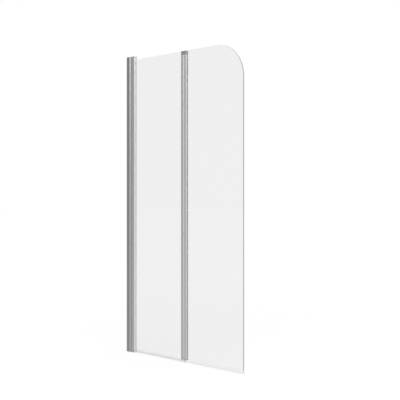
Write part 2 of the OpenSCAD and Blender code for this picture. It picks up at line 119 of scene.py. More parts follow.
class Graph:
    """A node tree that is filled by naming node types, settings and inputs."""

    def __init__(self, tree: bpy.types.NodeTree) -> None:
        """Empties the material's or the world's node tree."""
        self.tree = tree
        tree.nodes.clear()

    def add(
        self, kind: str, inputs: Mapping[str | int, Any] | None = None, **settings: Any
    ) -> bpy.types.Node:
        """Adds a node.

        Args:
            kind: the node's type without its "ShaderNode" prefix.
            inputs: a constant or an output socket for each named or numbered input.
            settings: the node's own properties.

        Returns:
            The new node.
        """
        node = self.tree.nodes.new("ShaderNode" + kind)
        for name, value in settings.items():
            setattr(node, name, value)
        for name, value in (inputs or {}).items():
            if isinstance(value, bpy.types.NodeSocket):
                self.tree.links.new(value, node.inputs[name])
            else:
                node.inputs[name].default_value = value
        return node

    def blend(self, share: Any, low: float, high: float) -> bpy.types.NodeSocket:
        """A number that runs from low to high as the share runs from 0 to 1."""
        node = self.add("MapRange", {"Value": share, "To Min": low, "To Max": high})
        return node.outputs["Result"]

    def ease(self, value: Any, span: Pair, levels: Pair) -> bpy.types.NodeSocket:
        """A number that eases from one level to the other as a value crosses a span.

        Args:
            value: the value.
            span: where the span starts and ends.
            levels: the numbers there.

        Returns:
            The number.
        """
        node = self.add("MapRange", {
            "Value": value,
            "From Min": span[0],
            "From Max": span[1],
            "To Min": levels[0],
            "To Max": levels[1]}, interpolation_type="SMOOTHSTEP")
        return node.outputs["Result"]

    def shade(self, dark: Any, light: Any, share: Any) -> bpy.types.NodeSocket:
        """A colour between a dark and a light one, by a share from 0 to 1."""
        # A Mix node's colour sockets are its inputs 6 and 7 and its output 2.
        node = self.add("Mix", {0: share, 6: dark, 7: light}, data_type="RGBA")
        return node.outputs[2]

    def grain(self, pattern: Grain) -> bpy.types.NodeSocket:
        """Noise on Object coordinates, stretched by the pattern's scales.

        Args:
            pattern: the noise pattern.

        Returns:
            The noise, from 0 to 1.
        """
        scale, detail = pattern.value
        place = self.add("TexCoord").outputs["Object"]
        stretched = self.add("Mapping", {"Vector": place, "Scale": scale}).outputs["Vector"]
        noise = self.add("TexNoise", {"Vector": stretched, "Scale": 1.0, "Detail": detail})
        return noise.outputs["Fac"]

    def relief(self, height: Any, depth: float, strength: float) -> bpy.types.NodeSocket:
        """A bump of the given depth in metres from a height between 0 and 1."""
        node = self.add("Bump", {"Height": height, "Distance": depth, "Strength": strength})
        return node.outputs["Normal"]

    def math(self, operation: str, first: Any, second: Any = 0.0) -> bpy.types.NodeSocket:
        """The result of a named operation on one or two numbers."""
        return self.add("Math", {0: first, 1: second}, operation=operation).outputs[0]

    def either(
        self, share: Any, first: bpy.types.Node, second: bpy.types.Node
    ) -> bpy.types.NodeSocket:
        """The first shader, which gives way to the second as the share runs from 0 to 1."""
        mixed = self.add("MixShader", {0: share, 1: first.outputs[0], 2: second.outputs[0]})
        return mixed.outputs[0]

    def show(self, shader: bpy.types.NodeSocket, output: str = "OutputMaterial") -> None:
        """Sends a shader to the tree's output."""
        self.add(output, {"Surface": shader})


def grey(level: float) -> tuple[float, float, float, float]:
    """An opaque grey of the given linear brightness."""
    return (level, level, level, 1.0)


# ---------------------------------------------------------------------------------------------
# Finishes


@dataclass(frozen=True)
class Finish:
    """A surface finish, which makes its material once and puts it on pieces.

    Attributes:
        label: the material's name.
        slot: the record's material slot that it belongs to.
    """

    label: str
    slot: str
    made: ClassVar[dict[str, bpy.types.Material]] = {}

    def material(self) -> bpy.types.Material:
        """The finish's material, made on first use.

        Returns:
            The material.
        """
        if self.label not in Finish.made:
            made = bpy.data.materials.new(self.label)
            made.use_nodes = True
            self.draw(Graph(made.node_tree))
            Finish.made[self.label] = made
        return Finish.made[self.label]

    def draw(self, graph: Graph) -> None:
        """Draws the finish's shader graph."""
        raise NotImplementedError

    def dress(self, piece: bpy.types.Object) -> bpy.types.Object:
        """Gives a piece this finish all over.

        Args:
            piece: the piece.

        Returns:
            The same piece.
        """
        piece.data.materials.clear()
        piece.data.materials.append(self.material())
        return piece


@dataclass(frozen=True)
class Grained(Finish):
    """A finish with a fine texture in its gloss and relief, and a slight change of shade.

    Attributes:
        level: mean brightness.
        metal: share of its look that comes from metal, the rest being plain grey.
        rough: lowest and highest roughness.
        shades: darkest and lightest shade, as shares of the level.
        texture: pattern of the gloss and the relief.
        cloud: pattern of the shade, the same as the texture where it has none.
        depth: depth of the relief, 0 for none.
        strength: how much of the relief shows.
    """

    level: float
    metal: float = 0.0
    rough: Pair = (0.40, 0.50)
    shades: Pair = (0.96, 1.03)
    texture: Grain = Grain.MOULD
    cloud: Grain | None = None
    depth: float = 0.01 * MM
    strength: float = 0.5

    def body(self, graph: Graph) -> bpy.types.Node:
        """The texture sets the roughness and the relief, and the cloud sets the shade.

        Args:
            graph: the graph that it's added to.

        Returns:
            The shader's node.
        """
        texture = graph.grain(self.texture)
        cloud = graph.grain(self.cloud or self.texture)
        dark, light = (grey(self.level * share) for share in self.shades)
        inputs = {
            "Base Color": graph.shade(dark, light, cloud),
            "Metallic": self.metal,
            "Roughness": graph.blend(texture, *self.rough)}
        if self.depth > 0:
            inputs["Normal"] = graph.relief(texture, self.depth, self.strength)
        return graph.add("BsdfPrincipled", inputs)

    def draw(self, graph: Graph) -> None:
        """Shows the body alone."""
        graph.show(self.body(graph).outputs[0])


@dataclass(frozen=True)
class Plastic(Grained):
    """Opaque moulded plastic or rubber, with the mould's texture."""


@dataclass(frozen=True)
class DrawnAluminium(Grained):
    """Anodised aluminium with fine lines along the extrusion."""

    metal: float = 1.0
    rough: Pair = (0.24, 0.36)
    shades: Pair = (0.97, 1.03)
    texture: Grain = Grain.METAL_LINES
    cloud: Grain | None = Grain.METAL_CLOUD
    strength: float = 0.4


@dataclass(frozen=True)
class SatinCasting(Grained):
    """A die casting under satin lacquer, with a fine orange peel."""

    metal: float = 0.6
    rough: Pair = (0.38, 0.46)
    shades: Pair = (0.95, 1.05)
    texture: Grain = Grain.CASTING_PEEL
    cloud: Grain | None = Grain.CASTING_CLOUD
    depth: float = 0.008 * MM


@dataclass(frozen=True)
class TurnedSteel(Grained):
    """Stainless steel off the lathe, with fine rings across the pin or screw."""

    metal: float = 1.0
    rough: Pair = (0.22, 0.36)
    shades: Pair = (0.94, 1.0)
    texture: Grain = Grain.LATHE_RINGS
    depth: float = 0.0


@dataclass(frozen=True)
class ClearStrip(Grained):
    """Translucent soft plastic, with faint lines from the die it was drawn through.

    Attributes:
        clear: share of light that passes straight on through each of its faces.
        passing: brightness of that light afterwards.
    """

    level: float = 0.7
    rough: Pair = (0.20, 0.33)
    shades: Pair = (0.95, 1.0)
    texture: Grain = Grain.STRIP_ALONG
    strength: float = 0.4
    clear: float = 0.975
    passing: float = 0.99

    def draw(self, graph: Graph) -> None:
        """Lets part of the light through unbent, and scatters the rest under a soft gloss."""
        through = graph.add("BsdfTransparent", {"Color": grey(self.passing)})
        graph.show(graph.either(self.clear, self.body(graph), through))


@dataclass(frozen=True)
class PaneGlass(Finish):
    """Clear toughened glass.

    Attributes:
        tint: share of light that the glass itself lets through.
        rough: lowest and highest roughness, which give it the faintest unevenness.
    """

    tint: float = 0.893
    rough: Pair = (0.0, 0.01)

    def draw(self, graph: Graph) -> None:
        """Smooth glass to the eye, and a plain tint to the lamps, whose light reaches through it.

        Args:
            graph: the material's graph.
        """
        roll = graph.grain(Grain.GLASS_ROLL)
        glass = graph.add("BsdfPrincipled", {
            "Base Color": grey(self.tint),
            "Roughness": graph.blend(roll, *self.rough),
            "IOR": GLASS_INDEX,
            "Transmission Weight": 1.0})
        lamps = graph.add("BsdfTransparent", {"Color": grey(self.tint)})
        shadow_ray = graph.add("LightPath").outputs["Is Shadow Ray"]
        graph.show(graph.either(shadow_ray, glass, lamps))


@dataclass(frozen=True)
class GroundEdge(Finish):
    """The ground and polished edge of a pane.

    From outside it holds the grey of the glass behind it, and a level edge is painted lighter,
    as painted light from above. From within the pane, a level edge is nearly clear.

    Attributes:
        level: brightness of an upright edge.
        painted_lit_edge: brightness of a level edge, which light falls on from above.
        dark: shade of the grinder's darkest lines.
        rough: lowest and highest roughness.
        clear: share of light that passes straight on through a level edge.
        passing: brightness of that light afterwards.
        fade: how soon an edge clears as it turns.
    """

    level: float = 0.42
    painted_lit_edge: float = 0.62
    dark: float = 0.92
    rough: Pair = (0.15, 0.30)
    clear: float = 0.97
    passing: float = 0.98
    fade: float = 3.5

    def draw(self, graph: Graph) -> None:
        """Grey gloss with the grinder's faint lines, painted lighter and clearing as the edge turns
        level.

        The turn is 1 - |x| ** fade, with x the part of the edge's normal along the pane: 0 for an
        upright edge and 1 for a level one.

        Args:
            graph: the material's graph.
        """
        lines = graph.grain(Grain.GLASS_GRINDING)
        normal = graph.add("TexCoord").outputs["Normal"]
        along = graph.math("ABSOLUTE", graph.add("SeparateXYZ", {0: normal}).outputs["X"])
        turn = graph.math("SUBTRACT", 1.0, graph.math("POWER", along, self.fade))
        # Painted light: a level edge is coloured lighter than an upright one, as if lit from above.
        colour = graph.shade(grey(self.level), grey(self.painted_lit_edge), turn)
        body = graph.add("BsdfPrincipled", {
            "Base Color": graph.shade(grey(0.0), colour, graph.blend(lines, self.dark, 1.0)),
            "Roughness": graph.blend(lines, *self.rough),
            "IOR": GLASS_INDEX})
        inside = graph.add("NewGeometry").outputs["Backfacing"]
        share = graph.math("MULTIPLY", graph.math("MULTIPLY", turn, inside), self.clear)
        through = graph.add("BsdfTransparent", {"Color": grey(self.passing)})
        graph.show(graph.either(share, body, through))


# One drawn aluminium at four levels: the wall channel and post are set darker, and the outer leaf's
# profile is painted lighter than the inner leaf's, as painted light.
POST_METAL = DrawnAluminium("post_aluminium", "aluminium", level=0.60)
CHANNEL_METAL = DrawnAluminium("channel_aluminium", "aluminium", level=0.54)
LEAF_METAL = DrawnAluminium("leaf_aluminium", "aluminium", level=0.84)
PAINTED_LIGHT_OUTER_METAL = DrawnAluminium("outer_leaf_aluminium_painted_light", "aluminium", level=0.94)
PLATE_LACQUER = SatinCasting("plate_lacquer", "end_plate", level=0.50)
COVER_LACQUER = SatinCasting(
    "cover_lacquer", "end_plate", level=0.74, metal=1.0, rough=(0.28, 0.36))
BLOCK_LACQUER = SatinCasting("block_lacquer", "end_block", level=0.40)
FOOT_LACQUER = SatinCasting("foot_lacquer", "foot_block", level=0.50)
STEEL = TurnedSteel("turned_steel", "steel", level=0.58)
BUSH_PLASTIC = Plastic("bush_plastic", "bush_plastic", level=0.82)
CAP_PLASTIC = Plastic("cap_plastic", "cover_plastic", level=0.52, rough=(0.25, 0.35))
# The gasket rubber is pale; its dark grey and mid-grey copies are painted shade, for the dark bands
# in the pivot groove and beside the panes in the fold profiles.
PALE_RUBBER = Plastic("pale_rubber", "gasket", level=0.93, rough=(0.55, 0.65))
SHADED_GREY_RUBBER = Plastic("grey_rubber", "gasket", level=0.25, rough=(0.55, 0.65))
SHADED_MID_RUBBER = Plastic("mid_grey_rubber", "gasket", level=0.60, rough=(0.55, 0.65))
LIP_STRIP = ClearStrip("clear_lip", "clear_seal", level=0.95, clear=0.985, passing=1.0)
INNER_STRIP = ClearStrip("clear_inner_fins", "clear_seal", clear=0.955)
OUTER_STRIP = ClearStrip("clear_outer_fins", "clear_seal", passing=0.995)
CUT_STRIP = ClearStrip("clear_strip_cut", "clear_seal", level=0.35, clear=0.4)
GROOVE_STRIP = ClearStrip(
    "clear_groove_strip", "clear_seal", level=0.8, texture=Grain.STRIP_UPRIGHT, clear=0.1)
GLASS = PaneGlass("pane_glass", "clear_glass")
GLASS_EDGE = GroundEdge("pane_edge", "clear_glass")


# ---------------------------------------------------------------------------------------------
# Outlines and surfaces


def box_size(node: str) -> tuple[np.ndarray, np.ndarray]:
    """The lowest and highest corner of a CAD node, as arrays."""
    low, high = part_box(node)
    return np.array(low), np.array(high)


def rounded(corners: Sequence[Corner], steps: int = 7) -> np.ndarray:
    """Rounds the corners of a closed polygon.

    With u and v the unit vectors from a corner to its neighbours and w the angle between them, the
    arc's centre lies on their bisector at radius / sin(w / 2). The arc's points are the spherical
    interpolation between the two tangent points, seen from that centre.

    Args:
        corners: each corner's two coordinates and its radius, 0 for a sharp one, in order.
        steps: points on each arc.

    Returns:
        The outline, one point a row.
    """
    table = np.asarray(corners, float)
    corner, radius = table[:, :2], table[:, 2:]
    back = np.roll(corner, 1, axis=0) - corner
    ahead = np.roll(corner, -1, axis=0) - corner
    back /= np.linalg.norm(back, axis=1, keepdims=True)
    ahead /= np.linalg.norm(ahead, axis=1, keepdims=True)
    half = np.arccos(np.clip((back * ahead).sum(1, keepdims=True), -1, 1)) / 2
    bisector = (back + ahead) / np.linalg.norm(back + ahead, axis=1, keepdims=True)
    centre = corner + bisector * radius / np.sin(half)
    start = corner + back * radius / np.tan(half) - centre
    end = corner + ahead * radius / np.tan(half) - centre
    turn = (np.pi - 2 * half)[:, None]
    share = np.linspace(0, 1, steps)[None, :, None]
    swept = np.sin((1 - share) * turn) * start[:, None] + np.sin(share * turn) * end[:, None]
    return without_repeats((centre[:, None] + swept / np.sin(turn)).reshape(-1, 2))


def mirrored(corners: Sequence[Corner]) -> list[Corner]:
    """The corners in reverse order, with their second coordinate turned to the other side."""
    return [(u, -v, radius) for u, v, radius in reversed(corners)]


def without_repeats(outline: np.ndarray, least: float = 1e-7) -> np.ndarray:
    """The closed outline without points that repeat the one before."""
    gap = np.linalg.norm(outline - np.roll(outline, 1, axis=0), axis=1)
    return outline[gap > least]


def arc(centre: Pair, radius: float, start: float, end: float, steps: int) -> np.ndarray:
    """Points on a circle from one angle to another, in radians: centre + radius (cos, sin)."""
    angle = np.linspace(start, end, steps)
    return np.array(centre) + radius * np.stack([np.cos(angle), np.sin(angle)], axis=1)


def hole(centre: Pair, radius: float, steps: int) -> np.ndarray:
    """A round hole's outline, clockwise."""
    return arc(centre, radius, 2 * math.pi, 0.0, steps)[:-1]


def spliced(outline: np.ndarray, curve: np.ndarray) -> np.ndarray:
    """Puts a curve into a closed outline that holds its first and last point as neighbours."""
    at = int(np.argmin(np.linalg.norm(outline - curve[0], axis=1)))
    return without_repeats(np.concatenate([outline[:at + 1], curve[1:-1], outline[at + 1:]]))


def inset(outline: np.ndarray, depth: float) -> np.ndarray:
    """Moves a closed outline to its left by a depth.

    Each point moves along the sum of its two edges' left normals, divided by one plus their dot
    product, which keeps the new edges parallel to the old ones.

    Args:
        outline: the outline, one point a row.
        depth: how far its edges move.

    Returns:
        The new outline, with as many points.
    """
    edge = np.roll(outline, -1, axis=0) - outline
    normal = np.stack([-edge[:, 1], edge[:, 0]], axis=1)
    normal /= np.linalg.norm(normal, axis=1, keepdims=True)
    before = np.roll(normal, 1, axis=0)
    return outline + depth * (normal + before) / (1 + (normal * before).sum(1, keepdims=True))


class Axis(Enum):
    """The axis that a prism runs along, with where a point (u, v, w) of it goes as (x, y, z)."""

    X = (2, 0, 1)
    Y = (1, 2, 0)
    Z = (0, 1, 2)


@dataclass
class Prism:
    """A profile carried along an axis, with its ends chamfered and closed.

    Attributes:
        name: the piece's name.
        loops: the profile. The first loop runs anticlockwise round the outside, and any others
            clockwise round holes. (u, v) are (x, y) along Z, (y, z) along X and (z, x) along Y.
        start: where the prism begins on its axis.
        end: where it ends.
        axis: the axis.
        chamfer: width of the chamfer at each end.
    """

    name: str
    loops: list[np.ndarray]
    start: float
    end: float
    axis: Axis = Axis.Z
    chamfer: float = 0.15 * MM

    def build(self) -> bpy.types.Object:
        """Makes the piece.

        Point (i, k) of a loop is its k-th profile point on the i-th of four rings, inset on the
        first and last ring and full on the two between, at that ring's place on the axis.

        Returns:
            The piece, in place.
        """
        places = (self.start, self.start + self.chamfer, self.end - self.chamfer, self.end)
        points, faces, first = [], [], 0
        rims: tuple[list[np.ndarray], list[np.ndarray]] = ([], [])
        for loop in self.loops:
            narrow = inset(loop, self.chamfer)
            count = len(loop)
            points += [
                np.column_stack([ring, np.full(count, w)])
                for ring, w in zip((narrow, loop, loop, narrow), places)]
            here = first + np.arange(len(places) * count).reshape(len(places), count)
            ahead = np.roll(here, -1, axis=1)
            sides = np.stack([here[:-1], ahead[:-1], ahead[1:], here[1:]], axis=-1)
            faces += sides.reshape(-1, 4).tolist()
            rims[0].append(here[0])
            rims[1].append(here[-1])
            first += here.size
        laid = np.concatenate(points)
        faces += self.cap(laid, rims[0], upward=False)
        faces += self.cap(laid, rims[1], upward=True)
        return surface(self.name, laid[:, self.axis.value], faces)

    @staticmethod
    def cap(points: np.ndarray, rims: list[np.ndarray], upward: bool) -> list[tuple[int, ...]]:
        """Closes an end of the prism.

        Args:
            points: all points as (u, v, w).
            rims: the point numbers of each loop at this end.
            upward: True at the far end.

        Returns:
            The end's faces: one face for a single loop that bends only one way, or else triangles.
        """
        order = np.concatenate(rims)
        flat = points[order][:, :2]
        step = np.roll(flat, -1, axis=0) - flat
        after = np.roll(step, -1, axis=0)
        bends = step[:, 0] * after[:, 1] - step[:, 1] * after[:, 0]
        if len(rims) == 1 and (bends > -NO_BEND).all():
            return [tuple(order if upward else order[::-1])]
        outlines = [[Vector((*points[i][:2], 0.0)) for i in rim] for rim in rims]
        corners = np.array(tessellate_polygon(outlines))
        a, b, c = (flat[corners[:, k]] for k in range(3))
        leftward = (b - a)[:, 0] * (c - a)[:, 1] - (b - a)[:, 1] * (c - a)[:, 0] > 0
        corners[leftward != upward] = corners[leftward != upward][:, ::-1]
        return [tuple(row) for row in order[corners].tolist()]


def placed(name: str, data: bpy.types.ID) -> bpy.types.Object:
    """Puts a mesh, a lamp or a camera into the scene.

    Args:
        name: the object's name.
        data: the mesh, lamp or camera.

    Returns:
        The object that holds it, at the origin.
    """
    piece = bpy.data.objects.new(name, data)
    bpy.context.scene.collection.objects.link(piece)
    return piece


def surface(name: str, points: np.ndarray, faces: Sequence[Sequence[int]]) -> bpy.types.Object:
    """A mesh object from whole arrays, smooth except at its edges.

    Args:
        name: the piece's name.
        points: one point a row.
        faces: the point numbers of each face.

    Returns:
        The object.
    """
    mesh = bpy.data.meshes.new(name)
    mesh.from_pydata(points.tolist(), [], faces)
    mesh.update()
    piece = placed(name, mesh)
    smooth(piece)
    return piece


def smooth(piece: bpy.types.Object) -> None:
    """Shades a piece smooth up to the sharp angle, with its broad faces kept flat.

    Args:
        piece: the piece.
    """
    piece.data.shade_smooth()
    piece.data.set_sharp_from_angle(angle=SHARP_ANGLE)
    even = piece.modifiers.new("even_faces", "WEIGHTED_NORMAL")
    even.keep_sharp = True


def facing(piece: bpy.types.Object, axis: int) -> np.ndarray:
    """Tells a piece's faces that look straight along an axis.

    Args:
        piece: the piece.
        axis: 0 for X, 1 for Y and 2 for Z.

    Returns:
        True for each face that looks along the axis, either way.
    """
    normals = np.empty(len(piece.data.polygons) * 3)
    piece.data.polygons.foreach_get("normal", normals)
    return np.abs(normals.reshape(-1, 3)[:, axis]) >= SQUARE_ON


def touch_up(piece: bpy.types.Object, finish: Finish, chosen: np.ndarray) -> None:
    """Gives the chosen faces of a piece that is already dressed a second finish."""
    piece.data.materials.append(finish.material())
    piece.data.polygons.foreach_set("material_index", chosen.astype(np.int32))


def softened(node: bpy.types.Object, name: str, edge: float) -> bpy.types.Object:
    """A copy of a CAD node with its sharp edges eased.

    Args:
        node: the CAD node.
        name: the copy's name.
        edge: width of the eased edges.

    Returns:
        The copy, which stands for the node.
    """
    shape = bmesh.new()
    shape.from_mesh(node.data)
    bmesh.ops.remove_doubles(shape, verts=shape.verts, dist=SAME_PLACE)
    bmesh.ops.dissolve_limit(shape, angle_limit=FLAT_ANGLE, verts=shape.verts, edges=shape.edges)
    mesh = bpy.data.meshes.new(name)
    shape.to_mesh(mesh)
    shape.free()
    piece = placed(name, mesh)
    bevel = piece.modifiers.new("eased_edges", "BEVEL")
    bevel.width = edge
    bevel.segments = EASED_SEGMENTS
    bevel.limit_method = "ANGLE"
    bevel.angle_limit = EASED_ANGLE
    bevel.harden_normals = False
    smooth(piece)
    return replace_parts(piece, node.name)


# ---------------------------------------------------------------------------------------------
# Pieces that both leaves have


@dataclass
class Pane:
    """A pane of glass with arrised edges.

    Attributes:
        node: the CAD pane that it stands for.
        name: the piece's name.
        corner: radius of the top corner at the free edge.
        safety: radius of the other corners.
        arris: width of the ground arris along every edge.
        steps: points on each rounded corner.
    """

    node: str
    name: str
    corner: float = SAFETY_RADIUS
    safety: float = SAFETY_RADIUS
    arris: float = 0.5 * MM
    steps: int = 48

    def build(self) -> bpy.types.Object:
        """Makes the pane from its CAD node's box, with ground edges as its second material.

        Returns:
            The pane.
        """
        low, high = box_size(self.node)
        outline = rounded([
            (low[2], low[0], self.safety),
            (high[2], low[0], self.safety),
            (high[2], high[0], self.corner),
            (low[2], high[0], self.safety)], self.steps)
        pane = Prism(self.name, [outline], low[1], high[1], Axis.Y, self.arris).build()
        GLASS.dress(pane)
        touch_up(pane, GLASS_EDGE, ~facing(pane, 1))
        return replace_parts(pane, self.node)


@dataclass
class Gasket:
    """A soft gasket folded round a pane's upright edge, with tips that lie on the pane's faces.

    Attributes:
        node: the CAD gasket that it stands for.
        name: the piece's name.
        pane: the CAD pane that it grips.
        tip: how far its tips stand out of the CAD gasket, which is flush with the metal.
        feather: thickness of the tips' ends.
        air: room between it and the pane.
        bend: radius of its outer corners.
        end: radius of the tips' ends.
        crease: radius of its inner corners.
    """

    node: str
    name: str
    pane: str
    tip: float = 0.2 * MM
    feather: float = 0.4 * MM
    air: float = 0.06 * MM
    bend: float = 0.3 * MM
    end: float = 0.18 * MM
    crease: float = 0.2 * MM

    def build(self) -> bpy.types.Object:
        """Makes the gasket, open towards the middle of its pane.

        Its corners are given as depths from its back and as places across the pane.

        Returns:
            The gasket.
        """
        low, high = box_size(self.node)
        pane_low, pane_high = box_size(self.pane)
        half, inner = high[1], pane_high[1] + self.air
        opens = 1 if low[0] < pane_low[0] else -1
        back, mouth = (low[0] if opens > 0 else high[0]), high[0] - low[0]
        reach = mouth + self.tip
        side = [
            (0.0, -half, self.bend),
            (mouth, -half, self.bend),
            (reach, -inner - self.feather, self.end),
            (reach, -inner, self.end),
            (half - pane_high[1], -inner, self.crease)]
        around = side + mirrored(side)
        outline = rounded([(back + opens * depth, y, radius) for depth, y, radius in around])
        return Prism(self.name, [outline[::opens]], low[2], high[2]).build()


class Leaf(Enum):
    """The two leaves, with the word that the names of their nodes start with."""

    INNER = "inner"
    OUTER = "outer"


@dataclass
class BottomSeal:
    """A clear seal under a pane: lips that grip the pane, and a bulb between fins below it.

    Attributes:
        leaf: the leaf that it belongs to.
        lip: thickness of the lips.
        fin: thickness of the fins and of the bulb's wall.
        gap: room between the lips and the metal.
        fit: room between the lips and the pane.
        base: thickness of the base that the fins hang from.
        base_drop: distance from the pane's edge down to the base's top.
        bulb: outer radius of the bulb.
        sink: depth that the bulb runs into the base.
        root: width of a fin's root.
        hook: how far the fins' tips turn in.
        lift: how far the lips' foot stands above the base's top.
        edge: radius of the small edges.
        bend: radius of the fins' bends.
        end: radius of the fins' tips.
        fillet: radius between the fins and the base.
        mouth: radius of the lips' outer tips.
        crease: radius of the corners under the pane.
        chamfer: chamfer of the cut ends.
        bulb_steps: points on each side of the bulb.
        bore_steps: points round its bore.
    """

    leaf: Leaf
    lip: float = 1 * MM
    fin: float = 0.7 * MM
    gap: float = 0.3 * MM
    fit: float = 0.1 * MM
    base: float = 2 * MM
    base_drop: float = 1.2 * MM
    bulb: float = 3.2 * MM
    sink: float = 0.6 * MM
    root: float = 1.5 * MM
    hook: float = 0.4 * MM
    lift: float = 0.02 * MM
    edge: float = 0.2 * MM
    bend: float = 3 * MM
    end: float = 0.34 * MM
    fillet: float = 0.5 * MM
    mouth: float = 0.6 * MM
    crease: float = 0.3 * MM
    chamfer: float = 0.1 * MM
    bulb_steps: int = 21
    bore_steps: int = 33

    @property
    def node(self) -> str:
        """The CAD seal that it stands for."""
        return self.leaf.value + "_bottom_seal"

    def levels(self) -> tuple[float, float, float]:
        """Measures where the seal meets its pane.

        Returns:
            Half the width over the lips, and the heights of the pane's edge and of the base's top.
        """
        pane_low, pane_high = box_size(self.leaf.value + "_pane")
        return pane_high[1] + self.fit + self.lip, pane_low[2], pane_low[2] - self.base_drop

    def fins(self) -> bpy.types.Object:
        """Makes the base with its bulb and three fins, over the CAD seal's whole length.

        Returns:
            The piece.
        """
        half, _, top = self.levels()
        low, high = box_size(self.node)
        spread, tip = high[1], low[2]
        under = top - self.base
        centre = (0.0, under - self.bulb + self.sink)
        middle = (top + tip) / 2
        meet = math.acos((self.bulb - self.sink) / self.bulb)
        foot = math.asin(self.fin / 2 / self.bulb)
        near = arc(centre, self.bulb, math.pi / 2 + meet, 3 * math.pi / 2 - foot, self.bulb_steps)
        far = arc(centre, self.bulb, foot - math.pi / 2, math.pi / 2 - meet, self.bulb_steps)
        side = [
            (half, top, self.edge),
            (spread, middle, self.bend),
            (spread - self.hook, tip, self.end),
            (spread - self.hook - self.fin, tip, self.end),
            (spread - self.fin, middle, self.bend),
            (half - self.root, under, self.fillet)]
        bends = rounded([
            *((-y, z, radius) for y, z, radius in side),
            (*near[0], 0.0),
            (*near[-1], 0.0),
            (-self.fin / 2, tip, self.end),
            (self.fin / 2, tip, self.end),
            (*far[0], 0.0),
            (*far[-1], 0.0),
            *reversed(side)])
        outline = spliced(spliced(bends, near), far)
        bore = hole(centre, self.bulb - self.fin, self.bore_steps)
        name = self.leaf.value + "_seal_fins"
        return Prism(name, [outline, bore], low[0], high[0], Axis.X, self.chamfer).build()

    def lips(self, start: float, end: float) -> bpy.types.Object:
        """Makes the trough round the pane's edge and its two lips.

        Args:
            start: where they start along the pane.
            end: where they end.

        Returns:
            The piece.
        """
        half, edge, top = self.levels()
        bottom = top + self.lift
        tip = box_size(self.node)[1][2]
        inner = half - self.lip
        outline = rounded([
            (-half, bottom, self.edge),
            (half, bottom, self.edge),
            (half, tip, self.mouth),
            (inner, tip, self.edge),
            (inner, edge, self.crease),
            (-inner, edge, self.crease),
            (-inner, tip, self.edge),
            (-half, tip, self.mouth)])
        name = self.leaf.value + "_seal_lips"
        return Prism(name, [outline], start, end, Axis.X, self.chamfer).build()


# ---------------------------------------------------------------------------------------------
# The screen's sub-assemblies


@dataclass
class SubAssembly:
    """A group of pieces that move together.

    Attributes:
        cast_edge: width of the eased edges of its castings.
        body: the CAD body that the pieces ride on.
    """

    frame: dict[str, Any]
    cast_edge: float = 0.3 * MM
    body: ClassVar[str] = ""

    def keep(self, finish: Finish, *nodes: str) -> None:
        """Keeps CAD nodes as they are, under a finish.

        Args:
            finish: the finish.
            nodes: the nodes' names.
        """
        for node in nodes:
            finish.dress(self.frame["nodes"][node])
            log.info("%s: kept %s as %s", self.body, node, finish.label)

    def ease(self, finish: Finish, edge: float, *nodes: str) -> None:
        """Puts copies with eased edges in place of CAD nodes.

        Args:
            finish: the copies' finish.
            edge: width of their eased edges.
            nodes: the nodes' names.
        """
        for node in nodes:
            self.add(softened(self.frame["nodes"][node], node + "_eased", edge), finish)

    def add(self, piece: bpy.types.Object, finish: Finish, *nodes: str) -> bpy.types.Object:
        """Dresses a new piece and mounts it on the body.

        Args:
            piece: the piece.
            finish: its finish.
            nodes: the CAD nodes that it stands for, where it hasn't named them itself.

        Returns:
            The same piece.
        """
        finish.dress(piece)
        self.mount(piece)
        if nodes:
            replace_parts(piece, *nodes)
        return piece

    def mount(self, piece: bpy.types.Object) -> None:
        """Makes a piece that is already dressed move with the body.

        Args:
            piece: the piece.
        """
        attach(piece, self.body)
        finishes = " and ".join(piece.data.materials.keys())
        count = len(piece.data.polygons)
        log.info("%s: built %s as %s, %d faces", self.body, piece.name, finishes, count)

    def seal(self, seal: BottomSeal, finish: Finish, start: float, end: float) -> None:
        """Adds the two pieces of a leaf's bottom seal, and greys the cut ends of its fins.

        Args:
            seal: the seal.
            finish: its fins' finish.
            start: where its lips start along the pane.
            end: where they end.
        """
        fins = self.add(seal.fins(), finish, seal.node)
        touch_up(fins, CUT_STRIP, facing(fins, 0))
        self.add(seal.lips(start, end), LIP_STRIP, seal.node)


